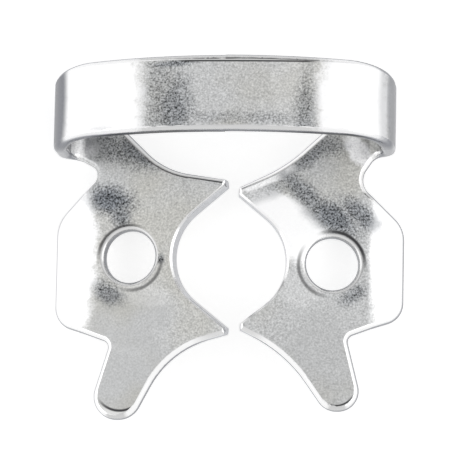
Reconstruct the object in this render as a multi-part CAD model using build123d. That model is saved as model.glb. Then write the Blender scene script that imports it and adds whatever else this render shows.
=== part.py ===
from build123d import *
import math
import os

# Rubber dam clamp, formed from one piece of spring steel sheet. All sizes are in millimetres.
# It is drawn as it is formed: +X across the tooth, +Y towards the bow, +Z towards the biting side,
# with the tooth's axis at x = 0, y = 0. At the end it is set down as it rests on a table.

sheet = 0.85                  # thickness of the steel
edge_share = 0.38             # rounding of the polished outer edges, as a share of that thickness
tooth_edge_bevel = 0.12       # small bevel on the upper edge ground to the tooth
sharp_turn = 30.0             # degrees: faces that meet at more than this make an edge to be rounded
edge_bevel_angle = 45.0       # degrees: slope of small bevels
overrun = 1.0                 # how far cutting bodies pass the metal

tooth_radius = 3.35           # concave edge that fits round the tooth
prong_angle = 39.0            # degrees: a prong's inner edge, from the X axis
prong_point = 0.45            # width of a prong's point
web = 1.19                    # steel between the tooth's edge and the forceps hole
hole_radius = 1.6             # forceps hole
hole_edge_round = 0.29        # rounding of its rims

jaw_lean = 10.0               # degrees: each jaw rises towards the tooth
fold_radius = 0.5             # inner bend of the fold between jaw and wing
wing_fold = 20.0              # degrees: how far a wing is folded down from its jaw

waist_step = 0.63             # from a prong's point back to the notch between leg and wing
leg_width = 4.4               # the strap's width at the heel
neck_back_inset = 0.55        # the neck meets the leg's back edge this far inside the leg
leg_front_inset = 0.45        # the notch meets the leg's front edge this far inside the leg

heel_radius = 1.6             # outer bend from a jaw up into its leg
heel_height = 2.8             # centre of that bend
leg_rise = 1.38               # straight part of a leg, from the heel's bend up
shoulder_radius = 3.4         # outer bend from a leg into the bow
crown_radius = 36.0           # gentle arch over the middle of the bow
crown_rise = 0.72             # that arch stands this much above its shoulders
bow_set_back = 0.64           # how far the legs lean back up to the bow
bow_width = 4.63              # the strap's width on top
leg_bend_rise = 0.7           # a leg starts to lean back this far above the seam
leg_bend_share = 0.8          # that bend starts this share of the rise below it
seam_clearance = 0.25         # from the highest point of the jaws up to the seam in the legs

largest_tilt = 30.0           # degrees: more than the clamp leans back when it is set down
tilt_step = 0.001             # degrees: how closely that lean is found
contact_tolerance = 0.01      # how closely the surface is followed for it

# The jaws are finished by hand and differ. Side 1 is +X, side -1 is -X.
# Lengths are given as shares of the tooth's radius, angles in degrees.
hole_back_share = {1: -0.054, -1: 0.054}       # the hole's centre, along Y
tooth_back_share = {1: -0.036, -1: 0.036}      # middle of the concave edge, along Y
tooth_bevel = {1: 2.0, -1: 6.0}                # that edge is ground open towards the top
fold_margin_share = {1: 0.167, -1: 0.275}      # from the hole out to the wing's fold
heel_margin_share = {1: 0.015, -1: 0.157}       # from the fold out to the centre of the heel's bend
wing_width_share = {1: 0.636, -1: 0.668}       # from the fold out to the wing's edge
back_tip_share = {1: 0.119, -1: 0.036}         # point of the back prong, from the middle plane
front_tip_share = {1: 0.185, -1: -0.012}       # point of the front prong, from the middle plane
neck_reach_share = {1: 0.982, -1: 1.224}       # corner between back prong and neck, from the middle plane
neck_step_share = {1: 0.439, -1: 0.206}        # the same corner, behind the prong's point
lobe_reach_share = {1: 1.006, -1: 1.072}       # corner between front prong and lobe, from the middle plane
lobe_step_share = {1: 0.376, -1: 0.288}        # the same corner, in front of the prong's point
waist_margin_share = {1: 0.078, -1: 0.07}      # the notch between leg and wing stops this far inside the fold
leg_step_share = {1: 0.463, -1: 0.26}          # front of the leg, behind that notch
waist_share = {1: 0.72, -1: 0.8}               # the notch's radius, as a share of that step
notch_inset_share = {1: 0.364, -1: 0.402}      # corner of the notch between wing and lobe, inside the fold
notch_step_share = {1: 0.075, -1: 0.128}       # the same corner, in front of the prong's point
lobe_length_share = {1: 1.352, -1: 1.4}        # from that corner to the end of the lobe
lobe_width_share = {1: 0.716, -1: 0.878}       # end of the lobe
lobe_splay = {1: 14.3, -1: 17.1}               # the lobe's outer edge, from the Y axis
wing_front_slope = {1: 21.6, -1: 20.3}         # the wing's front edge, from the X axis
wing_back_slope = {1: 42.8, -1: 44.4}          # the wing's back edge, from the X axis

# How far the roundings of the outline reach along its straight stretches.
neck_back_share = 0.9         # of the inset
neck_share = 0.3              # of the neck
lobe_share = 0.52             # of the lobe's inner edge
lobe_end_share = 0.96         # of the lobe's end, both of its roundings together
notch_share = 0.11            # of the wing's front edge
wing_front_share = 0.27       # of the wing's front edge
wing_back_share = 0.2         # of the wing's back edge
leg_front_share = 0.9         # of the inset

edge_round = edge_share * sheet
hole_reach = tooth_radius + web + hole_radius
bow_height = heel_height + leg_rise + shoulder_radius + crown_rise

def rise(degrees):
    return math.tan(math.radians(degrees))

def aim(degrees):
    """A unit direction in a drawing plane."""
    return Vector(math.cos(math.radians(degrees)), math.sin(math.radians(degrees)))

def distance(start, end):
    return math.hypot(end[0] - start[0], end[1] - start[1])

def rounding(before, corner, after, reach):
    """Radius of a rounding that starts this far before a corner of an outline."""
    arrival = Vector(*corner) - Vector(*before)
    departure = Vector(*after) - Vector(*corner)
    return reach / rise(arrival.get_angle(departure) / 2)

def end_rounding(before, first, second, after, share):
    """Radius of the two roundings at an end of the outline that together take up a share of it."""
    end = Vector(*second) - Vector(*first)
    arrival = Vector(*first) - Vector(*before)
    departure = Vector(*after) - Vector(*second)
    return share * end.length / (rise(arrival.get_angle(end) / 2) + rise(end.get_angle(departure) / 2))

def fold_reach(side):
    """Start of the fold between jaw and wing, from the middle plane."""
    return hole_reach + hole_radius + fold_margin_share[side] * tooth_radius

def leg_reach(side):
    """Outer face of a leg, from the middle plane."""
    return fold_reach(side) + heel_margin_share[side] * tooth_radius + heel_radius

def jaw_height(side, reach, inset):
    """Height of a jaw's sheet at a distance from the middle plane, inset above its lower face."""
    depth = heel_radius - inset
    heel_reach = leg_reach(side) - heel_radius
    lowest = heel_height - depth / math.cos(math.radians(jaw_lean))
    return lowest + (heel_reach - reach) * rise(jaw_lean)

def seam_height(side):
    """The heel and the jaw lie below this height, the shoulder and the bow above it."""
    return jaw_height(side, -overrun, sheet) + seam_clearance

def hoop_path(side, inset):
    """Half of the bow, a leg and a jaw in x and z: the outer face, moved inwards by inset."""
    shoulder_reach = leg_reach(side) - shoulder_radius
    crown_turn = math.degrees(math.asin(shoulder_reach / (crown_radius - shoulder_radius)))
    crown = JernArc((0, bow_height - inset), aim(0), crown_radius - inset, -crown_turn)
    shoulder = JernArc(crown @ 1, crown % 1, shoulder_radius - inset, crown_turn - 90)
    leg = Line(shoulder @ 1, (leg_reach(side) - inset, heel_height))
    heel = JernArc(leg @ 1, leg % 1, heel_radius - inset, -90 - jaw_lean)
    jaw = Line(heel @ 1, (heel @ 1) + (heel % 1) * (leg_reach(side) + overrun))
    return [crown, shoulder, leg, heel, jaw]

def wing_path(side, inset):
    """A jaw with its wing in x and z: the lower face, moved up by inset."""
    outward = aim(-jaw_lean)
    fold = fold_reach(side)
    fold_start = Vector(fold, jaw_height(side, fold, sheet)) - aim(90 - jaw_lean) * (sheet - inset)
    jaw = Line(fold_start - outward * (fold + 2 * overrun), fold_start)
    bend = JernArc(fold_start, outward, fold_radius + inset, -wing_fold)
    wing = Line(bend @ 1, (bend @ 1) + (bend % 1) * fold)
    return [jaw, bend, wing]

def band(outer, inner):
    """The face between two open paths that run the same way."""
    ends = [Line(outer[0] @ 0, inner[0] @ 0), Line(outer[-1] @ 1, inner[-1] @ 1)]
    return make_face(outer + inner + ends)

def along_y(face):
    """A face drawn in x and z, given ample length both ways along Y."""
    return extrude(Plane.XZ * face, amount=crown_radius, both=True)

def inner_line_y(side, x):
    """How far along Y a prong's inner edge is from the middle of the concave edge."""
    slant = math.radians(90 - prong_angle)
    return (tooth_radius - x * math.cos(slant)) / math.sin(slant)

def waist_radius(side):
    """Rounding of the notch between leg and wing."""
    return waist_share[side] * leg_step_share[side] * tooth_radius

def waist_corner(side, back, leg_front):
    """The corner of that notch, placed so that its rounding stays clear of the wing's fold."""
    fold_start = fold_reach(side) - sheet * math.sin(math.radians(jaw_lean))
    bottom = Vector(fold_start - waist_margin_share[side] * tooth_radius, back)
    leg_way = math.degrees(math.atan2(leg_front[1] - bottom.Y, leg_front[0] - bottom.X))
    half_opening = math.radians(leg_way + wing_back_slope[side]) / 2
    depth = waist_radius(side) * (1 / math.sin(half_opening) - 1)
    corner = bottom - aim((leg_way - wing_back_slope[side]) / 2) * depth
    return (corner.X, corner.Y)

def outline_points(side):
    """The corners of a jaw's outline seen from above, by name, with its neck, wing and lobe."""
    middle = tooth_back_share[side] * tooth_radius
    fold = fold_reach(side)
    back_tip_x = back_tip_share[side] * tooth_radius
    front_tip_x = front_tip_share[side] * tooth_radius
    back_tip = (back_tip_x, middle + inner_line_y(side, back_tip_x) + prong_point)
    front_tip = (front_tip_x, middle - inner_line_y(side, front_tip_x) - prong_point)
    waist_y = back_tip[1] + waist_step
    front_y = waist_y + leg_step_share[side] * tooth_radius
    back_y = front_y + leg_width
    wing_x = fold + wing_width_share[side] * tooth_radius
    leg_inner = leg_reach(side) - sheet
    waist = waist_corner(side, waist_y, (leg_inner - leg_front_inset, front_y))
    notch = (
        fold - notch_inset_share[side] * tooth_radius,
        front_tip[1] - notch_step_share[side] * tooth_radius,
    )
    lobe_y = notch[1] - lobe_length_share[side] * tooth_radius
    lobe_x = notch[0] + (notch[1] - lobe_y) * rise(lobe_splay[side])
    return {
        "neck_back": (leg_inner - neck_back_inset, back_y),
        "neck": (neck_reach_share[side] * tooth_radius, back_tip[1] + neck_step_share[side] * tooth_radius),
        "back_tip": back_tip,
        "front_tip": front_tip,
        "lobe": (lobe_reach_share[side] * tooth_radius, front_tip[1] - lobe_step_share[side] * tooth_radius),
        "lobe_inner": (lobe_x - lobe_width_share[side] * tooth_radius, lobe_y),
        "lobe_outer": (lobe_x, lobe_y),
        "notch": notch,
        "wing_front": (wing_x, notch[1] + (wing_x - notch[0]) * rise(wing_front_slope[side])),
        "wing_back": (wing_x, waist[1] - (wing_x - waist[0]) * rise(wing_back_slope[side])),
        "waist": waist,
        "leg_front": (leg_inner - leg_front_inset, front_y),
    }

def past_tip(corner, tip):
    """Where the line from a corner through a prong's point ends, past the middle plane."""
    slope = (corner[1] - tip[1]) / (corner[0] - tip[0])
    return (-overrun, tip[1] - (tip[0] + overrun) * slope)

def blank_face(side):
    """A jaw seen from above. It runs on past the leg and the prongs."""
    p = outline_points(side)
    past_leg = leg_reach(side) + overrun
    start = (past_leg, p["neck_back"][1])
    end = (past_leg, p["leg_front"][1])
    past_back = past_tip(p["neck"], p["back_tip"])
    past_front = past_tip(p["lobe"], p["front_tip"])
    points = [
        start, p["neck_back"], p["neck"], past_back, past_front, p["lobe"], p["lobe_inner"], p["lobe_outer"],
        p["notch"], p["wing_front"], p["wing_back"], p["waist"], p["leg_front"], end,
    ]
    lobe_radius = end_rounding(p["lobe"], p["lobe_inner"], p["lobe_outer"], p["notch"], lobe_end_share)
    wing_edge = distance(p["notch"], p["wing_front"])
    radii = [
        0,
        rounding(start, p["neck_back"], p["neck"], neck_back_share * neck_back_inset),
        rounding(p["neck_back"], p["neck"], past_back, neck_share * distance(p["neck"], past_back)),
        0,
        0,
        rounding(past_front, p["lobe"], p["lobe_inner"], lobe_share * distance(p["lobe"], p["lobe_inner"])),
        lobe_radius,
        lobe_radius,
        rounding(p["lobe_outer"], p["notch"], p["wing_front"], notch_share * wing_edge),
        rounding(p["notch"], p["wing_front"], p["wing_back"], wing_front_share * wing_edge),
        rounding(p["wing_front"], p["wing_back"], p["waist"],
                 wing_back_share * distance(p["wing_back"], p["waist"])),
        waist_radius(side),
        rounding(p["waist"], p["leg_front"], end, leg_front_share * leg_front_inset),
        0,
    ]
    return make_face(FilletPolyline(*points, radius=radii, close=True))

def leg_face(side):
    """A leg and the bow seen from the side, in y and z, from the seam up."""
    fronts = [outline_points(each)["leg_front"][1] for each in (1, -1)]
    bow_front = sum(fronts) / 2 + bow_set_back
    bow_back = bow_front + bow_width
    front = outline_points(side)["leg_front"][1]
    back = front + leg_width
    seam = seam_height(side)
    bend = seam + leg_bend_rise
    top = bow_height + overrun
    share = (top - bend) / (bow_height - bend)
    points = [
        (front, seam),
        (front, bend),
        (front + (bow_front - front) * share, top),
        (back + (bow_back - back) * share, top),
        (back, bend),
        (back, seam),
    ]
    bend_reach = leg_bend_share * leg_bend_rise
    front_radius = rounding(points[0], points[1], points[2], bend_reach)
    back_radius = rounding(points[3], points[4], points[5], bend_reach)
    return make_face(FilletPolyline(*points, radius=[0, front_radius, 0, 0, back_radius, 0], close=True))

def sharp_edges(solid):
    """The edges at which two faces meet at a clear angle."""
    owners = {}
    for face in solid.faces():
        for edge in face.edges():
            owners.setdefault(edge, []).append(face)
    found = ShapeList()
    for edge, pair in owners.items():
        middle = edge @ 0.5
        if pair[0].normal_at(middle).get_angle(pair[-1].normal_at(middle)) > sharp_turn:
            found.append(edge)
    return found

def half_sheet(side):
    """Half of the formed sheet, drawn on the +X side, with rounded edges. Its prongs run on too far."""
    hoop = along_y(band(hoop_path(side, 0), hoop_path(side, sheet)))
    wing = along_y(band(wing_path(side, 0), wing_path(side, sheet)))
    blank = extrude(blank_face(side), amount=seam_height(side), both=True)
    waist_plane = Plane.XZ.offset(-outline_points(side)["waist"][1])
    rear = hoop & split(blank, waist_plane, keep=Keep.BOTTOM)
    front = wing & split(blank, waist_plane, keep=Keep.TOP)
    leg = hoop & extrude(Plane.YZ * leg_face(side), amount=leg_reach(side) + overrun)
    formed = (rear + front + leg).solid()
    outer_edges = [edge for edge in sharp_edges(formed) if (edge @ 0.5).X > contact_tolerance]
    return formed.fillet(edge_round, outer_edges)

def tooth_cutter(side):
    """Clears the space of the tooth, square to the jaw, and shapes the prongs' points."""
    apex = tooth_radius / math.cos(math.radians(90 - prong_angle))
    depth = sheet + 2 * overrun
    far = -leg_reach(side)
    p = outline_points(side)
    middle = tooth_back_share[side] * tooth_radius
    outline = []
    for tip, way in ((p["back_tip"], 1), (p["front_tip"], -1)):
        tip_y = way * (tip[1] - middle)
        outer = Vector(tip[0], tip_y) + aim(90 - prong_angle) * overrun
        run = [(far, outer.Y), (outer.X, outer.Y), (tip[0], tip_y), (tip[0], inner_line_y(side, tip[0]))]
        outline.append([(x, way * y) for x, y in run])
    points = outline[0] + [(apex, 0)] + outline[1][::-1]
    corner = len(outline[0])
    radii = [tooth_radius if index == corner else 0 for index in range(len(points))]
    face = make_face(FilletPolyline(*points, radius=radii, close=True))
    floor = Plane(
        origin=(0, middle, jaw_height(side, 0, 0)),
        x_dir=(math.cos(math.radians(jaw_lean)), 0, -math.sin(math.radians(jaw_lean))),
        z_dir=(math.sin(math.radians(jaw_lean)), 0, math.cos(math.radians(jaw_lean))),
    )
    below = edge_round
    grown = (below + sheet - tooth_edge_bevel) * rise(tooth_bevel[side])
    start = sheet - tooth_edge_bevel - grown / rise(edge_bevel_angle)
    main = extrude(floor.offset(-below) * face, amount=below + sheet + overrun, taper=-tooth_bevel[side])
    edge = extrude(floor.offset(start) * face, amount=sheet - start + tooth_edge_bevel, taper=-edge_bevel_angle)
    return main + edge

def half_clamp(side):
    """Half of the clamp, drawn on the +X side, with its tooth edge and its forceps hole."""
    ground = (half_sheet(side) - tooth_cutter(side)).solid()
    hole_back = hole_back_share[side] * tooth_radius
    hole_centre = Vector(hole_reach, hole_back, jaw_height(side, hole_reach, sheet / 2))
    hole = Pos(hole_centre) * Rot(0, jaw_lean, 0) * Cylinder(hole_radius, sheet + 2 * overrun)
    pierced = (ground - hole).solid()
    circles = pierced.edges().filter_by(GeomType.CIRCLE)
    rims = [edge for edge in circles if (edge.arc_center - hole_centre).length < sheet]
    return pierced.fillet(hole_edge_round, rims)

def resting_tilt(clamp, middle):
    """Degrees by which the clamp leans back until heels and wings touch the table together."""
    points = clamp.tessellate(contact_tolerance)[0]
    heels = [point for point in points if point.Y > middle]
    wings = [point for point in points if point.Y < middle]
    least = 0.0
    most = largest_tilt
    while most - least > tilt_step:
        tilt = (least + most) / 2
        down = Vector(0, rise(tilt), -1)
        if max(point.dot(down) for point in heels) < max(point.dot(down) for point in wings):
            least = tilt
        else:
            most = tilt
    return least

def set_down(clamp):
    """The clamp as it rests on a table, with the middle of its footprint at the origin."""
    middle = outline_points(1)["leg_front"][1]
    leaned = Rot(-resting_tilt(clamp, middle), 0, 0) * clamp
    box = leaned.bounding_box()
    return Pos(-box.center().X, -box.center().Y, -box.min.Z) * leaned

clamp = half_clamp(1) + mirror(half_clamp(-1), about=Plane.YZ)
clamp = set_down(clamp.solid())

os.makedirs("parts", exist_ok=True)
export_step(clamp, "parts/clamp.step")
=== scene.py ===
import math

import bpy
import numpy as np
from mathutils import Matrix, Vector


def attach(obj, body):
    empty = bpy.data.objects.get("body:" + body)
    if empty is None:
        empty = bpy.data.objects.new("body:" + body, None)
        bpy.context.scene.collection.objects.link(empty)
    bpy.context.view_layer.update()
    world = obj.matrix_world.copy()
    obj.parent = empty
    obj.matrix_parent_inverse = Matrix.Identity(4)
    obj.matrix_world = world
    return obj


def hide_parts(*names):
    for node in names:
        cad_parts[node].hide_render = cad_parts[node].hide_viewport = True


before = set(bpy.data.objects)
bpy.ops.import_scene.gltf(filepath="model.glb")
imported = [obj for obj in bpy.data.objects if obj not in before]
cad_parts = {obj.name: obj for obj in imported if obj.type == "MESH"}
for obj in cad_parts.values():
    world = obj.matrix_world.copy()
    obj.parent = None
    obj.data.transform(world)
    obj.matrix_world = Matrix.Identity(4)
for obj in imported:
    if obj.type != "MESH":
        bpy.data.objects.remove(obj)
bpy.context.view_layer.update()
print("stage 1: frame loaded")

mm = 0.001
white = (1.0, 1.0, 1.0)
nodeGrid = {"columns": 12, "across": 220, "down": 320}   # how nodes are laid out in the editor


class NodeGraph:
    # the nodes of one material or world, and short calls that add to them and mostly return an output

    def __init__(self, tree):
        self.tree = tree
        tree.nodes.clear()

    def feed(self, socket, value):
        # another node's output, a colour of three numbers, or a plain value
        if isinstance(value, bpy.types.NodeSocket):
            self.tree.links.new(value, socket)
        elif socket.type == "RGBA":
            socket.default_value = (*value, 1)
        else:
            socket.default_value = value

    def add(self, kind, inputs=None, **properties):
        node = self.tree.nodes.new(kind)
        row, column = divmod(len(self.tree.nodes), nodeGrid["columns"])
        node.location = (column * nodeGrid["across"], -row * nodeGrid["down"])
        for name, value in properties.items():
            setattr(node, name, value)
        for key, value in (inputs or {}).items():
            self.feed(node.inputs[key], value)
        return node

    def math(self, kind, *values):
        return self.add("ShaderNodeMath", dict(enumerate(values)), operation=kind).outputs[0]

    def vector(self, kind, *values):
        # LENGTH and DOT_PRODUCT give a number, the others a vector
        node = self.add("ShaderNodeVectorMath", dict(enumerate(values)), operation=kind)
        return node.outputs["Value" if kind in ("LENGTH", "DOT_PRODUCT") else "Vector"]

    def chained(self, kind, first, *others):
        for other in others:
            first = self.math(kind, first, other)
        return first

    def largest(self, *values):
        return self.chained("MAXIMUM", *values)

    def product(self, *values):
        return self.chained("MULTIPLY", *values)

    def without(self, value, share):
        # the part of a value that a share of 0 to 1 leaves
        return self.math("MULTIPLY", value, self.math("SUBTRACT", 1.0, share))

    def scaled(self, vector, factor):
        node = self.add("ShaderNodeVectorMath", {0: vector, "Scale": factor}, operation="SCALE")
        return node.outputs["Vector"]

    def split(self, vector):
        return self.add("ShaderNodeSeparateXYZ", {0: vector}).outputs

    def mix(self, share, first, second):
        # the first colour where the share is 0, the second where it is 1
        return self.add("ShaderNodeMix", {0: share, 6: first, 7: second}, data_type="RGBA").outputs[2]

    def ramp(self, source, stops):
        # greys at places from 0 to 1
        node = self.add("ShaderNodeValToRGB", {"Fac": source})
        elements = node.color_ramp.elements
        while len(elements) < len(stops):
            elements.new(0.5)
        for element, (place, grey) in zip(elements, stops):
            element.position = place
            element.color = (grey, grey, grey, 1)
        return node.outputs["Color"]

    def between(self, value, start, end, top=1.0):
        # from 0 to the top, smoothly, as the value goes from start to end
        inputs = {"Value": value, "From Min": start, "From Max": end, "To Max": top}
        return self.add("ShaderNodeMapRange", inputs, interpolation_type="SMOOTHSTEP").outputs["Result"]

    def noise(self, place, settings):
        inputs = {"Vector": place, "Scale": 1 / settings["size"], "Detail": settings["detail"],
                  "Roughness": settings["roughness"]}
        return self.add("ShaderNodeTexNoise", inputs).outputs["Fac"]

    def placed(self, place, centre, turn, size):
        # the object's coordinates as seen from a spot: centre and half sizes in millimetres, turn in degrees
        return self.add("ShaderNodeMapping", {
            "Vector": place,
            "Location": [value * mm for value in centre],
            "Rotation": (0, 0, math.radians(turn)),
            "Scale": [value * mm for value in size],
        }, vector_type="TEXTURE").outputs["Vector"]

    def seen(self):
        # 1 for what the camera sees, also in a reflection or through glass, 0 for light on its way
        path = self.add("ShaderNodeLightPath").outputs
        return self.largest(path["Is Camera Ray"], path["Is Glossy Ray"], path["Is Transmission Ray"])


def newMaterial(name):
    material = bpy.data.materials.new(name)
    material.use_nodes = True
    return material, NodeGraph(material.node_tree)


# The clamp's body
body = {
    "mergeDistance": 0.002 * mm,     # triangles of the CAD mesh that share a corner are joined
    "smoothAngle": 40,               # degrees: sharper edges than this stay crisp
    "tilt": 6.818,                   # degrees that the clamp leans back as it lies on its heels and wings
    "shift": (0.2345 * mm, -1.4791 * mm, 0.0363 * mm),   # where the tooth's axis stands on the table
    "jawLean": 10,                   # degrees
    "wingFold": 20,                  # degrees more
    "foldReach": {1: 8.30 * mm, -1: 8.66 * mm},          # start of the fold, from the middle plane
    "foldLength": 0.4 * mm,
    "heelReach": {1: 8.05 * mm, -1: 8.9 * mm},           # start of the heel's bend
    "waistBack": {1: 4.9 * mm, -1: 5.45 * mm},           # the notch between leg and wing
    "seamHeight": 3.8 * mm,          # above this the sheet is the strap of bow and legs
    "flatTurn": 0.05,                # a face that leans less than this share of 90 degrees is a broad face
    "crispTurn": 0.2,                # a point that turns from its face by more is on a crisp edge
}


def smoothCopy(source, name):
    # the CAD node's own triangles, welded and shaded smooth
    mesh = source.data.copy()
    piece = bpy.data.objects.new(name, mesh)
    bpy.context.scene.collection.objects.link(piece)
    bpy.context.view_layer.objects.active = piece
    bpy.ops.object.select_all(action="DESELECT")
    piece.select_set(True)
    bpy.ops.mesh.customdata_custom_splitnormals_clear()
    bpy.ops.object.mode_set(mode="EDIT")
    bpy.ops.mesh.select_all(action="SELECT")
    bpy.ops.mesh.remove_doubles(threshold=body["mergeDistance"])
    bpy.ops.object.mode_set(mode="OBJECT")
    mesh.shade_smooth()
    mesh.set_sharp_from_angle(angle=math.radians(body["smoothAngle"]))
    # flat faces stay flat up to their roundings
    weighted = piece.modifiers.new("evenShading", "WEIGHTED_NORMAL")
    weighted.keep_sharp = True
    return piece


def asBent(points, isWay=False):
    # places, or directions, in the frame in which the sheet was bent:
    # +X across the tooth, +Z square to the bow's top
    tilt = math.radians(body["tilt"])
    moved = points if isWay else points - np.array(body["shift"])
    back = moved[:, 1] * math.cos(tilt) - moved[:, 2] * math.sin(tilt)
    height = moved[:, 1] * math.sin(tilt) + moved[:, 2] * math.cos(tilt)
    return np.stack([moved[:, 0], back, height], axis=1)


def turnFromSheet(places, ways):
    # the angle between a surface and the sheet's own broad face there, as a share of 90 degrees
    bent = asBent(places)
    ways = asBent(ways, isWay=True)
    ways /= np.maximum(np.linalg.norm(ways, axis=1, keepdims=True), np.finfo(float).tiny)
    side = np.where(bent[:, 0] >= 0, 1, -1)
    reach = np.abs(bent[:, 0])

    def bySide(values):
        return np.where(side > 0, values[1], values[-1])

    onWing = (bent[:, 1] < bySide(body["waistBack"])) & (bent[:, 2] < body["seamHeight"])
    fold = np.clip((reach - bySide(body["foldReach"])) / body["foldLength"], 0, 1) * onWing
    lean = np.radians(body["jawLean"] + fold * body["wingFold"])
    across = side * ways[:, 0] * np.sin(lean) + ways[:, 2] * np.cos(lean)
    jawTurn = np.degrees(np.arccos(np.clip(np.abs(across), 0, 1)))
    strapTurn = np.degrees(np.arcsin(np.clip(np.abs(ways[:, 1]), 0, 1)))
    onStrap = (bent[:, 2] > body["seamHeight"]) | ((reach > bySide(body["heelReach"])) & ~onWing)
    return np.where(onStrap, strapTurn, jawTurn) / 90


def measureEdges(mesh):
    # edgeTurn, per face corner: 0 on the broad faces, growing over each rounded edge to 1 on the walls.
    # A point's normal is the sum of its faces, weighted by area. Where it is far from the face's own, at a
    # crisp edge, the face's own counts, so that no edge spreads over a broad face.
    places = np.empty(len(mesh.vertices) * 3)
    mesh.vertices.foreach_get("co", places)
    places = places.reshape(-1, 3)
    corners = np.empty(len(mesh.polygons) * 3, dtype=np.int32)
    mesh.polygons.foreach_get("vertices", corners)
    corners = corners.reshape(-1, 3)
    first, second, third = (places[corners[:, corner]] for corner in range(3))
    spans = np.cross(second - first, third - first)
    sums = np.zeros_like(places)
    for corner in range(3):
        np.add.at(sums, corners[:, corner], spans)
    pointTurn = turnFromSheet(places, sums)[corners]
    faceTurn = turnFromSheet(places[corners].mean(axis=1), spans)[:, None]
    turn = np.where(np.abs(pointTurn - faceTurn) > body["crispTurn"], faceTurn, pointTurn)
    turn = np.where(faceTurn < body["flatTurn"], 0, turn)
    layer = mesh.attributes.new("edgeTurn", "FLOAT", "CORNER")
    layer.data.foreach_set("value", turn.ravel().astype(np.float32))
    return turn


clampBody = smoothCopy(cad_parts["clamp"], "clampBody")
edgeTurn = measureEdges(clampBody.data)
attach(clampBody, "root")
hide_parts("clamp")
edgeShare = round(float((edgeTurn > body["crispTurn"]).mean()), 2)
print("stage 2: clamp body,", len(clampBody.data.vertices), "points,", edgeShare, "of the corners on edges")

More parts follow.
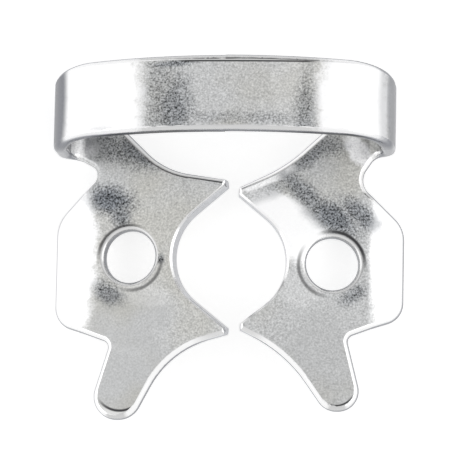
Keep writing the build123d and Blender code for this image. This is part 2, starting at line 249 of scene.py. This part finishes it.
# The finish holds painted light and shade: highlights, glints, dark reflections, shaded walls and flanks.
# The clamp's finish. Spots are soft ellipses in millimetres: centre, half sizes, turn in degrees and
# strength. Their outlines stray by the noise, as a share of the half sizes, and fade over the softness.
# Arcs are parts of circles: centre, radius, the way of their middle in degrees, strength.
# Stops place a painted grey of light or shade on an edge's turn, from the broad face at 0 to the narrow wall
# at 1.
# Spreads are where an effect starts and where it is full.
steel = {
    # broad faces
    "warmGrey": (0.475, 0.472, 0.45),
    "coolGrey": (0.505, 0.51, 0.512),
    "clouds": {"size": 5.0 * mm, "detail": 2.0, "roughness": 0.5},      # the warm and cool areas
    "cloudStops": [(0.4, 0.0), (0.6, 1.0)],
    "grain": {"size": 0.115 * mm, "detail": 3.0, "roughness": 0.65},    # the mottle left by tumbling
    "grainGain": 8.0,                # the noise stays close to its middle, so it is spread out
    "grainContrast": 0.22,
    "outlines": {"size": 0.7 * mm, "detail": 6.0, "roughness": 0.8},    # makes the spots' outlines ragged
    "roughness": 0.36,
    "roughnessChange": 0.08,
    "roughnessSpread": (0.35, 0.65),
    "relief": 0.3,
    "reliefDepth": 0.01 * mm,
    # dark mottled patches, partly real stains and partly painted dark reflections
    "stainAndReflectionColour": (0.13, 0.14, 0.155),
    "stainContrast": 0.75,
    "stainsAndDarkReflections": {"noise": 1.2, "softness": 0.62, "spots": [
        ((-7.3, 2.45, 3), (1.45, 0.85, 9), -12, 0.95),
        ((-6.6, 1.6, 3), (0.6, 1.0, 9), 20, 0.75),
        ((-7.2, -3.3, 3), (1.0, 0.6, 9), -25, 0.72),
        ((-4.0, -1.15, 3), (0.24, 0.3, 9), 0, 0.7),
        ((-6.6, 5.7, 2), (2.4, 1.0, 5), -20, 0.58),
        ((-5.9, 5.4, 2), (1.5, 0.5, 5), -33, 0.75),
        ((5.0, 2.55, 3), (2.6, 0.6, 9), -44, 0.72),
        ((6.35, 1.5, 3), (1.7, 0.8, 9), -28, 0.88),
        ((8.1, 1.65, 3), (1.5, 0.6, 9), -38, 0.75),
        ((7.7, -3.3, 3), (0.9, 0.42, 9), 30, 0.6),
        ((5.0, 5.2, 2), (1.5, 0.42, 5), 42, 0.62),
        ((6.1, 5.85, 2), (1.1, 0.6, 5), 0, 0.5),
        ((2.75, 3.0, 3), (1.9, 0.4, 9), 24, 0.34),
        ((-2.8, 7.6, 8.5), (1.05, 2.2, 5.5), 0, 0.68),
        ((-3.6, 8.2, 8.5), (1.1, 3.0, 5.5), 0, 0.45),
        ((-3.0, 10.4, 8.5), (1.4, 0.2, 5.5), 4, 0.75),
        ((1.2, 7.15, 8.5), (3.6, 0.35, 5.5), 0, 0.3),
        ((5.1, 7.4, 8.5), (0.65, 2.2, 5.5), 0, 0.55),
    ]},
    # painted highlights, and smaller painted glints that keep some mottle
    "highlightColour": (0.95, 0.95, 0.955),
    "paintedHighlights": {"noise": 0.7, "softness": 0.2, "spots": [
        ((3.7, 0.8, 3), (2.9, 1.7, 9), -38, 0.95),
        ((-7.6, 8.3, 8.5), (3.15, 5.2, 5.5), 0, 1.0),
        ((8.2, 8.3, 8.5), (2.7, 5.2, 5.5), 0, 1.0),
        ((-10.2, -0.6, 3), (2.2, 6.2, 9), 0, 1.0),
        ((10.3, -0.6, 3), (1.6, 6.2, 9), 0, 1.0),
        ((0.5, 8.3, 8.5), (5.5, 5.0, 5.5), 0, 0.06),
        ((3.9, 9.2, 8.5), (1.1, 2.0, 5.5), 0, 0.16),
        ((-5.1, -3.3, 3), (1.7, 0.7, 9), -12, 0.14),
        ((4.4, -2.8, 3), (1.5, 1.2, 9), -30, 0.16),
    ]},
    "paintedGlintContrast": 0.14,
    "paintedGlints": {"noise": 1.3, "softness": 0.3, "spots": [
        ((2.5, 3.8, 3), (1.8, 0.36, 9), 25, 0.9),
        ((-9.0, 5.75, 1.7), (0.95, 0.7, 2.2), 0, 1.0),
        ((7.9, 5.55, 1.5), (1.2, 0.6, 1.6), -55, 1.0),
    ]},
    # calmer and a little darker: the lobes, and the left jaw in front of its hole
    "calmShade": 0.1,
    "calmContrast": 0.5,             # share of the grain's contrast that goes
    "calms": {"noise": 0.3, "softness": 0.3, "spots": [
        ((-6.4, -8.4, 3), (3.2, 4.2, 9), 0, 1.0),
        ((6.0, -8.4, 3), (3.0, 4.0, 9), 0, 0.7),
        ((-5.9, -4.6, 3), (2.7, 1.5, 9), 0, 0.9),
    ]},
    # painted shade on the outer flanks at the bow's two ends
    "flankShadeColour": (0.225, 0.23, 0.25),
    "flankGrain": 0.1,
    "shadedFlanks": {"noise": 0.1, "softness": 0.1, "spots": [
        ((-12.0, 8.3, 8.5), (2.45, 7.0, 30), 0, 1.0),
        ((11.5, 8.3, 8.5), (1.75, 7.0, 30), 0, 0.8),
        ((11.5, 8.3, 8.5), (2.15, 7.0, 30), 0, 0.4),
    ]},
    # painted dark lines of reflection: crescents round the forceps holes, and arcs that border a painted
    # light band at the lobes' ends
    "paintedLineColour": (0.05, 0.05, 0.052),
    "lineCore": 0.2,                 # share of a line's half width that is fully dark
    "arcFade": (0.35, 0.95),         # cosines of the way off an arc's middle at which it ends and is full
    "arcFlatness": 1000,             # millimetres: at this half size the height doesn't count
    "crescentWidth": 0.085,          # half width, as a share of the radius
    "crescents": [
        ((-5.9, -1.1), 2.0, 128, 0.85),
        ((-5.9, -1.1), 1.97, -50, 0.7),
        ((6.37, -1.42), 2.0, 50, 1.0),
        ((6.37, -1.42), 1.97, 205, 0.7),
    ],
    "lobeLineWidth": 0.075,
    "lobeLines": [
        ((-6.36, -8.78), 1.61, -86, 1.0),
        ((6.75, -8.78), 1.2, -80, 1.0),
    ],
    # the same painted light band and dark line along the bow's back edge
    "paintedBandColour": (0.6, 0.6, 0.595),
    "bowBorder": {
        "line": 10.58 * mm,
        "width": 0.08 * mm,
        "left": -2.0 * mm,
        "right": 5.0 * mm,
        "fade": 1.0 * mm,
    },
    "bowSpread": (4.5 * mm, 5.5 * mm),    # heights between which the jaws and necks end and the bow starts
    # edges, painted lighter or darker by the way that they head along the table
    "leanAcross": 0.1776,            # slope of a jaw's face across the tooth
    "leanBack": 0.1196,              # and of every face towards the lobes
    "edgeRoughness": 0.16,
    "edgeStops": [(0.03, 0.0), (0.07, 1.0)],
    "edgeHighlightShare": 0.8,               # share of an edge's own painted greys that the painted highlights take
    "plainStops": [(0.03, 0.50), (0.15, 0.6), (0.5, 0.64), (0.8, 0.56), (1.0, 0.36)],
    # edges that face sideways or forwards get a painted highlight, apart from the lobes' ends
    "litStops": [(0.02, 0.55), (0.08, 0.82), (0.2, 0.95), (0.7, 0.95), (0.85, 0.6), (1.0, 0.42)],
    "sideSpread": (0.3, 0.55),
    "frontSpread": (0.3, 0.6),
    "lobeEnds": (-9.2 * mm, -8.4 * mm),
    # edges that face the bow start with a painted dark line
    "lineStops": [(0.02, 0.09), (0.15, 0.12), (0.25, 0.52), (0.5, 0.66), (0.8, 0.52), (1.0, 0.4)],
    "lineWay": (0.3, 0.954, 0),
    "lineSpread": (0.72, 0.92),
    # painted light and shade on the rims of the forceps holes
    "rimStops": [(0.03, 0.14), (0.1, 0.42), (0.3, 0.68), (0.6, 0.62), (0.85, 0.25), (1.0, 0.14)],
    "rims": {"noise": 0.0, "softness": 0.02, "spots": [
        ((-5.9, -1.1, 3), (2.05, 2.05, 30), 0, 1.0),
        ((6.37, -1.42, 3), (2.05, 2.05, 30), 0, 1.0),
    ]},
    # round the notches between leg and wing the painted edge light is weaker, and the edges keep more of the
    # broad face's finish
    "quietEdges": {"noise": 0.0, "softness": 0.12, "spots": [
        ((-8.5, 4.1, 2), (1.2, 1.3, 5), 0, 0.9),
        ((8.6, 4.2, 2), (0.95, 1.2, 5), 0, 0.35),
    ]},
    # painted shade on walls that stand upright, lighter on those that look into the tooth's space
    "shadedWallColour": (0.16, 0.165, 0.18),
    "wallSpread": (0.76, 0.34),      # on how far the wall's normal points up
    "wallLift": 0.42,                # keeps bent broad faces from counting as walls
    "paintedWallLight": 1.1,                 # painted light: how much lighter a wall is that leans upwards
    "shadedToothWallColour": (0.45, 0.455, 0.47),
    "toothWalls": {"noise": 0.0, "softness": 0.12, "spots": [((0.23, -1.17, 3), (4.3, 5.3, 30), 0, 0.75)]},
    "squareSpread": (0.86, 0.97),    # there only the middle of each jaw's edge, which faces sideways, gets the painted highlight
}


def steelMaterial():
    material, graph = newMaterial("tumbledSteel")
    place = graph.add("ShaderNodeTexCoord").outputs["Object"]
    grain = graph.noise(place, steel["grain"])
    outlines = graph.noise(place, steel["outlines"])
    across, back, height = graph.split(place)

    def patches(kind):
        # the largest of several soft ellipses with ragged outlines
        masks = []
        noise, softness = steel[kind]["noise"], steel[kind]["softness"]
        middle = 1 + noise / 2
        for centre, size, turn, strength in steel[kind]["spots"]:
            length = graph.vector("LENGTH", graph.placed(place, centre, turn, size))
            ragged = graph.math("MULTIPLY_ADD", outlines, noise, length)
            masks.append(graph.between(ragged, middle + softness, middle - softness, strength))
        return graph.largest(*masks)

    def arcs(items, start, end, bothWays=True):
        # from 0 to 1 as the way off each circle, outwards or both ways, goes from start to end,
        # which are shares of its radius
        masks = []
        for centre, radius, way, strength in items:
            spot = graph.placed(place, (*centre, 0), way, (radius, radius, steel["arcFlatness"]))
            away = graph.math("SUBTRACT", graph.vector("LENGTH", spot), 1.0)
            if bothWays:
                away = graph.math("ABSOLUTE", away)
            ahead = graph.split(graph.vector("NORMALIZE", spot))["X"]
            masks.append(graph.product(graph.between(away, start, end),
                                       graph.between(ahead, *steel["arcFade"], strength)))
        return graph.largest(*masks)

    # broad faces: warm and cool greys, painted highlights, stains that are partly painted dark reflections,
    # and a fine grain
    stainsAndDarkReflections = patches("stainsAndDarkReflections")
    paintedGlints = patches("paintedGlints")
    paintedHighlights = graph.largest(patches("paintedHighlights"), paintedGlints)
    calms = patches("calms")
    clouds = graph.ramp(graph.noise(place, steel["clouds"]), steel["cloudStops"])
    base = graph.mix(clouds, steel["warmGrey"], steel["coolGrey"])
    base = graph.mix(paintedHighlights, base, steel["highlightColour"])
    base = graph.mix(stainsAndDarkReflections, base, steel["stainAndReflectionColour"])
    contrast = graph.math("MULTIPLY_ADD", stainsAndDarkReflections, steel["stainContrast"], steel["grainContrast"])
    contrast = graph.without(contrast, paintedHighlights)
    contrast = graph.largest(contrast, graph.product(paintedGlints, steel["paintedGlintContrast"]))
    contrast = graph.without(contrast, graph.product(calms, steel["calmContrast"]))
    mottle = graph.product(graph.math("SUBTRACT", grain, 0.5), steel["grainGain"])
    level = graph.math("ADD", graph.product(mottle, contrast), 1.0)
    level = graph.math("SUBTRACT", level, graph.product(calms, steel["calmShade"]))
    marked = graph.scaled(base, level)

    # painted reflections: light bands, each with a dark line on its inner side
    border = steel["bowBorder"]
    onBow = graph.between(height, *steel["bowSpread"])
    inBorder = graph.product(
        graph.between(across, border["left"] - border["fade"], border["left"]),
        graph.between(across, border["right"] + border["fade"], border["right"]))
    onBorder = graph.product(onBow, inBorder)
    past = graph.math("SUBTRACT", back, border["line"])
    bowBand = graph.product(onBorder, graph.between(past, 0, border["width"]))
    bowLine = graph.product(onBorder, graph.between(
        graph.math("ABSOLUTE", past), border["width"], steel["lineCore"] * border["width"]))
    lobeWidth, crescentWidth = steel["lobeLineWidth"], steel["crescentWidth"]
    lobeBand = arcs(steel["lobeLines"], 0.0, lobeWidth, bothWays=False)
    lobeBand = graph.product(lobeBand, lobeBand)
    lobeLine = arcs(steel["lobeLines"], lobeWidth, steel["lineCore"] * lobeWidth)
    crescents = arcs(steel["crescents"], crescentWidth, steel["lineCore"] * crescentWidth)
    marked = graph.mix(graph.largest(bowBand, lobeBand), marked, steel["paintedBandColour"])
    marked = graph.mix(graph.largest(bowLine, lobeLine, crescents), marked, steel["paintedLineColour"])

    # which way an edge heads along the table: its normal, less the lean of the broad face beside it
    turn = graph.add("ShaderNodeAttribute", attribute_name="edgeTurn").outputs["Fac"]
    normal = graph.add("ShaderNodeNewGeometry").outputs["Normal"]
    upwards = graph.split(normal)["Z"]
    belowBow = graph.between(height, *reversed(steel["bowSpread"]))
    leanAcross = graph.product(graph.math("SIGN", across), steel["leanAcross"], belowBow)
    lean = graph.add("ShaderNodeCombineXYZ", {"X": leanAcross, "Y": steel["leanBack"], "Z": 1.0}).outputs[0]
    heading = graph.vector("NORMALIZE", graph.vector("SUBTRACT", normal, graph.scaled(lean, upwards)))

    def faces(way, spread):
        # 1 where an edge heads this way, 0 elsewhere
        return graph.between(graph.vector("DOT_PRODUCT", heading, way), *spread)

    def facesSideways(spread):
        return graph.largest(faces((1, 0, 0), spread), faces((-1, 0, 0), spread))

    # polished edges with painted light and shade: dark lines towards the bow, highlights on the sides, rims
    # of the holes
    toothWalls = patches("toothWalls")
    frontwards = graph.product(faces((0, -1, 0), steel["frontSpread"]), belowBow,
                               graph.between(back, *steel["lobeEnds"]))
    # edges heading sideways or forwards get the painted highlight
    catching = graph.largest(facesSideways(steel["sideSpread"]), frontwards)
    catching = graph.without(catching, graph.without(toothWalls, facesSideways(steel["squareSpread"])))
    plainEdgeShading = graph.ramp(turn, steel["plainStops"])
    paintedEdgeShading = graph.mix(catching, plainEdgeShading, graph.ramp(turn, steel["litStops"]))
    lined = faces(steel["lineWay"], steel["lineSpread"])
    paintedEdgeShading = graph.mix(lined, paintedEdgeShading, graph.ramp(turn, steel["lineStops"]))
    paintedEdgeShading = graph.mix(patches("rims"), paintedEdgeShading, graph.ramp(turn, steel["rimStops"]))
    # the painted highlights lighten the edges within them too
    paintedEdgeShading = graph.mix(graph.product(paintedHighlights, steel["edgeHighlightShare"]), paintedEdgeShading, steel["highlightColour"])
    onEdge = graph.without(graph.ramp(turn, steel["edgeStops"]), patches("quietEdges"))
    colour = graph.mix(onEdge, marked, paintedEdgeShading)

    # walls: painted shade, darker towards the table, and lighter round the tooth
    wallGrain = graph.math("MULTIPLY_ADD", mottle, steel["flankGrain"], 1.0)
    paintedWallLight = graph.math("MULTIPLY_ADD", upwards, steel["paintedWallLight"], wallGrain)
    shadedWallColour = graph.mix(toothWalls, steel["shadedWallColour"], steel["shadedToothWallColour"])
    lift = graph.product(graph.math("SUBTRACT", 1.0, onEdge), steel["wallLift"])
    steep = graph.between(graph.math("ADD", graph.math("ABSOLUTE", upwards), lift), *steel["wallSpread"])
    colour = graph.mix(steep, colour, graph.scaled(shadedWallColour, paintedWallLight))
    # painted shade on the bow's outer flanks
    colour = graph.mix(patches("shadedFlanks"), colour, graph.scaled(steel["flankShadeColour"], wallGrain))

    smoothest, roughest = steel["roughnessSpread"]
    faceRoughness = graph.ramp(grain, [
        (smoothest, steel["roughness"] - steel["roughnessChange"]),
        (roughest, steel["roughness"] + steel["roughnessChange"]),
    ])
    roughness = graph.mix(onEdge, faceRoughness, (steel["edgeRoughness"],) * 3)
    relief = {"Strength": steel["relief"], "Distance": steel["reliefDepth"], "Height": grain}
    shader = graph.add("ShaderNodeBsdfPrincipled", {
        "Metallic": 1.0,
        "Base Color": colour,
        "Roughness": roughness,
        "Normal": graph.add("ShaderNodeBump", relief).outputs["Normal"],
    })
    graph.add("ShaderNodeOutputMaterial", {"Surface": shader.outputs["BSDF"]})
    return material


clampBody.data.materials.clear()
clampBody.data.materials.append(steelMaterial())
print("stage 3: steel finish")

# Floor, light and background
studio = {
    "floorSize": 900 * mm,
    "floorDrop": 0.02 * mm,          # keeps the floor clear of the clamp
    "floorColour": (0.8, 0.8, 0.8),
    "floorGlow": 0.62,               # what the camera sees of the floor on top of its own light
    "worldLevel": 0.5,               # ambient light on the object
    "lampDistance": 130 * mm,
    "lampSize": 110 * mm,
    "lampWatts": {"softboxRight": 0.025, "softboxLeft": 0.01875},
    "lampHeight": 38,                # degrees above the horizon
}


def makeFloor():
    half = studio["floorSize"] / 2
    mesh = bpy.data.meshes.new("studioFloor")
    corners = [(-half, -half, 0), (half, -half, 0), (half, half, 0), (-half, half, 0)]
    mesh.from_pydata(corners, [], [(0, 1, 2, 3)])
    floor = bpy.data.objects.new("studioFloor", mesh)
    bpy.context.scene.collection.objects.link(floor)
    floor.location.z = -studio["floorDrop"]
    material, graph = newMaterial("paleFloor")
    matte = graph.add("ShaderNodeBsdfDiffuse", {"Color": studio["floorColour"]})
    glowLevel = graph.product(graph.seen(), studio["floorGlow"])
    glow = graph.add("ShaderNodeEmission", {"Color": white, "Strength": glowLevel})
    both = graph.add("ShaderNodeAddShader", {0: matte.outputs[0], 1: glow.outputs[0]})
    graph.add("ShaderNodeOutputMaterial", {"Surface": both.outputs[0]})
    mesh.materials.append(material)


def makeWorld():
    # white where it is seen, and a softer light on the object
    world = bpy.data.worlds.new("studioWorld")
    bpy.context.scene.world = world
    world.use_nodes = True
    graph = NodeGraph(world.node_tree)
    ambient = graph.add("ShaderNodeBackground", {"Color": white, "Strength": studio["worldLevel"]})
    backdrop = graph.add("ShaderNodeBackground", {"Color": white, "Strength": 1.0})
    lights = {"Fac": graph.seen(), 1: ambient.outputs[0], 2: backdrop.outputs[0]}
    both = graph.add("ShaderNodeMixShader", lights)
    graph.add("ShaderNodeOutputWorld", {"Surface": both.outputs[0]})


def makeLamp(name, azimuth):
    lamp = bpy.data.lights.new(name, "AREA")
    lamp.size = studio["lampSize"]
    lamp.energy = studio["lampWatts"][name]
    lampObject = bpy.data.objects.new(name, lamp)
    bpy.context.scene.collection.objects.link(lampObject)
    around, up = math.radians(azimuth), math.radians(studio["lampHeight"])
    way = Vector((math.cos(around) * math.cos(up), math.sin(around) * math.cos(up), math.sin(up)))
    lampObject.location = way * studio["lampDistance"]
    lampObject.rotation_euler = (-way).to_track_quat("-Z", "Y").to_euler()


makeFloor()
makeWorld()
makeLamp("softboxRight", 0)
makeLamp("softboxLeft", 180)
print("stage 4: floor and light")

# Camera: nearly straight above, as in the photograph
camera = {
    "sensorWidth": 36,               # millimetres, as lenses are measured
    "distance": 250 * mm,
    "pictureWidth": 27.85 * mm,      # how much the picture takes in, at that distance
    "clip": (1 * mm, 5),
    "target": (0, 0, 3.5 * mm),      # a point of the clamp, and where it appears in the picture:
    "targetRight": -0.278 * mm,      # from the picture's centre
    "targetDown": 0.591 * mm,
    "side": 5.5,                     # degrees, the camera stands towards +X
    "pitch": -2.5,                   # degrees, and towards -Y
    "turn": 0.52,                    # degrees, turned in the picture
}


def makeCamera():
    data = bpy.data.cameras.new("photoCamera")
    data.sensor_width = camera["sensorWidth"]
    data.lens = data.sensor_width * camera["distance"] / camera["pictureWidth"]
    data.clip_start, data.clip_end = camera["clip"]
    cameraObject = bpy.data.objects.new("photoCamera", data)
    bpy.context.scene.collection.objects.link(cameraObject)
    side, pitch, turn = (math.radians(camera[key]) for key in ("side", "pitch", "turn"))
    back = Vector((math.sin(side), math.sin(pitch) * math.cos(side), math.cos(pitch) * math.cos(side)))
    back.normalize()
    level = Vector((0, 1, 0)).cross(back).normalized()
    upright = back.cross(level)
    right = level * math.cos(turn) + upright * math.sin(turn)
    up = back.cross(right)
    aim = Vector(camera["target"]) - right * camera["targetRight"] + up * camera["targetDown"]
    axes = Matrix((right, up, back)).transposed()
    cameraObject.matrix_world = Matrix.Translation(aim + back * camera["distance"]) @ axes.to_4x4()
    bpy.context.scene.camera = cameraObject


makeCamera()
bpy.context.scene.view_settings.view_transform = "Standard"
print("stage 5: camera")
